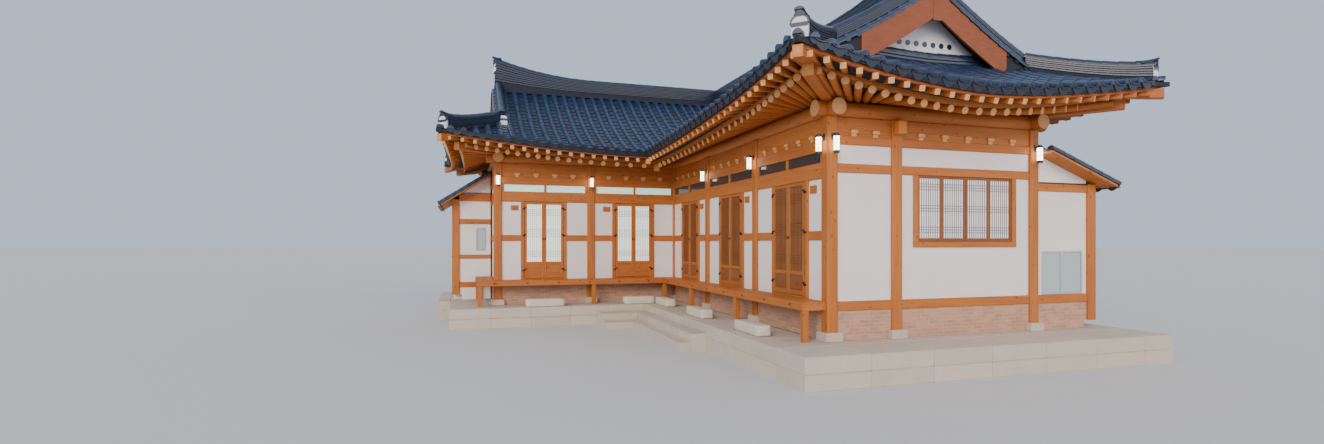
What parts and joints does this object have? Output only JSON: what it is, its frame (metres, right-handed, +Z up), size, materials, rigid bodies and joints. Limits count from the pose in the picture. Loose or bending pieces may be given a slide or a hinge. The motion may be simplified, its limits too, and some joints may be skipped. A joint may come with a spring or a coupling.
{
  "type": "traditional tiled-roof courtyard house",
  "caption": "L-shaped timber-framed house on a stone platform, with paired lattice doors, a narrow porch deck and a curved tiled hip-and-gable roof.",
  "frame": {"origin": "on the level ground plane, under the centre of the near corner post where the gable end meets the courtyard side", "axes": "+Z up; +Y along the right wing from the gable end to the rear wall; +X from the courtyard across the right wing"},
  "size_m": [13.3, 15.85, 7.97],
  "materials": {
    "granite": "rough cut granite",
    "brick": "pinkish tan brick",
    "timber": "oiled orange-brown timber",
    "dark_timber": "darker oiled timber",
    "door_timber": "oiled lattice door timber",
    "plaster": "matt lime plaster",
    "glass": "clear pane",
    "roof_tile": "dark blue-grey fired tile",
    "ridge_tile": "stacked dark ridge tile",
    "bargeboard_paint": "red-brown stained board",
    "lamp_glass": "white opal glass"
  },
  "bodies": {
    "house": {"stylobate": "granite", "step_stone_1": "granite", "step_stone_2": "granite", "step_stone_3": "granite", "step_stone_4": "granite", "step_stone_5": "granite", "brick_base": "brick", "floor": "dark_timber", "porch_deck": "timber", "porch_frame": "timber", "courtyard_frame_right": "timber", "courtyard_frame_left": "timber", "gable_frame": "timber", "rear_frame": "timber", "courtyard_wall_1": "plaster", "courtyard_wall_2": "plaster", "courtyard_wall_3": "plaster", "courtyard_wall_corner": "plaster", "courtyard_wall_5": "plaster", "courtyard_wall_6": "plaster", "courtyard_wall_over": "plaster", "transom_panes_right": "glass", "transom_panes_left": "glass", "gable_wall": "plaster", "gable_window": "dark_timber", "rear_wall": "plaster", "eave_purlins": "timber", "lower_rafters": "timber", "flying_rafters": "timber", "tiled_roof": "roof_tile", "ridges": "ridge_tile", "near_gable_wall": "plaster", "left_gable_wall": "plaster", "near_bargeboards": "bargeboard_paint", "left_bargeboards": "bargeboard_paint", "right_lean_to_frame": "timber", "right_lean_to_wall": "plaster", "right_lean_to_window": "glass", "right_lean_to_roof": "roof_tile", "left_lean_to_frame": "timber", "left_lean_to_wall": "plaster", "left_lean_to_window": "glass", "left_lean_to_roof": "roof_tile", "lamp_near_post_court": "lamp_glass", "lamp_near_post_gable": "lamp_glass", "lamp_second_post": "lamp_glass", "lamp_third_post": "lamp_glass", "lamp_left_wing_middle": "lamp_glass", "lamp_left_wing_end": "lamp_glass", "lamp_gable_far_post": "lamp_glass"},
    "right_door_1_near": {"right_door_1_near": "door_timber"},
    "right_door_1_far": {"right_door_1_far": "door_timber"},
    "right_door_2_near": {"right_door_2_near": "door_timber"},
    "right_door_2_far": {"right_door_2_far": "door_timber"},
    "right_door_3_near": {"right_door_3_near": "door_timber"},
    "right_door_3_far": {"right_door_3_far": "door_timber"},
    "left_door_1_left": {"left_door_1_left": "door_timber"},
    "left_door_1_right": {"left_door_1_right": "door_timber"},
    "left_door_2_left": {"left_door_2_left": "door_timber"},
    "left_door_2_right": {"left_door_2_right": "door_timber"}
  },
  "joints": [
    {"name": "right_door_1_near_hinge", "type": "hinge", "parent": "house", "child": "right_door_1_near", "pos_m": [-0.109, 0.687, 1.17], "axis": [0, 0, 1], "range_deg": [0, 90]},
    {"name": "right_door_1_far_hinge", "type": "hinge", "parent": "house", "child": "right_door_1_far", "pos_m": [-0.109, 1.897, 1.17], "axis": [0, 0, -1], "range_deg": [0, 90]},
    {"name": "right_door_2_near_hinge", "type": "hinge", "parent": "house", "child": "right_door_2_near", "pos_m": [-0.109, 3.437, 1.17], "axis": [0, 0, 1], "range_deg": [0, 90]},
    {"name": "right_door_2_far_hinge", "type": "hinge", "parent": "house", "child": "right_door_2_far", "pos_m": [-0.109, 4.647, 1.17], "axis": [0, 0, -1], "range_deg": [0, 90]},
    {"name": "right_door_3_near_hinge", "type": "hinge", "parent": "house", "child": "right_door_3_near", "pos_m": [-0.109, 6.187, 1.17], "axis": [0, 0, 1], "range_deg": [0, 90]},
    {"name": "right_door_3_far_hinge", "type": "hinge", "parent": "house", "child": "right_door_3_far", "pos_m": [-0.109, 7.397, 1.17], "axis": [0, 0, -1], "range_deg": [0, 90]},
    {"name": "left_door_1_left_hinge", "type": "hinge", "parent": "house", "child": "left_door_1_left", "pos_m": [-4.435, 8.141, 1.17], "axis": [0, 0, -1], "range_deg": [0, 90]},
    {"name": "left_door_1_right_hinge", "type": "hinge", "parent": "house", "child": "left_door_1_right", "pos_m": [-3.365, 8.141, 1.17], "axis": [0, 0, 1], "range_deg": [0, 90]},
    {"name": "left_door_2_left_hinge", "type": "hinge", "parent": "house", "child": "left_door_2_left", "pos_m": [-1.855, 8.141, 1.17], "axis": [0, 0, -1], "range_deg": [0, 90]},
    {"name": "left_door_2_right_hinge", "type": "hinge", "parent": "house", "child": "left_door_2_right", "pos_m": [-0.785, 8.141, 1.17], "axis": [0, 0, 1], "range_deg": [0, 90]}
  ]
}
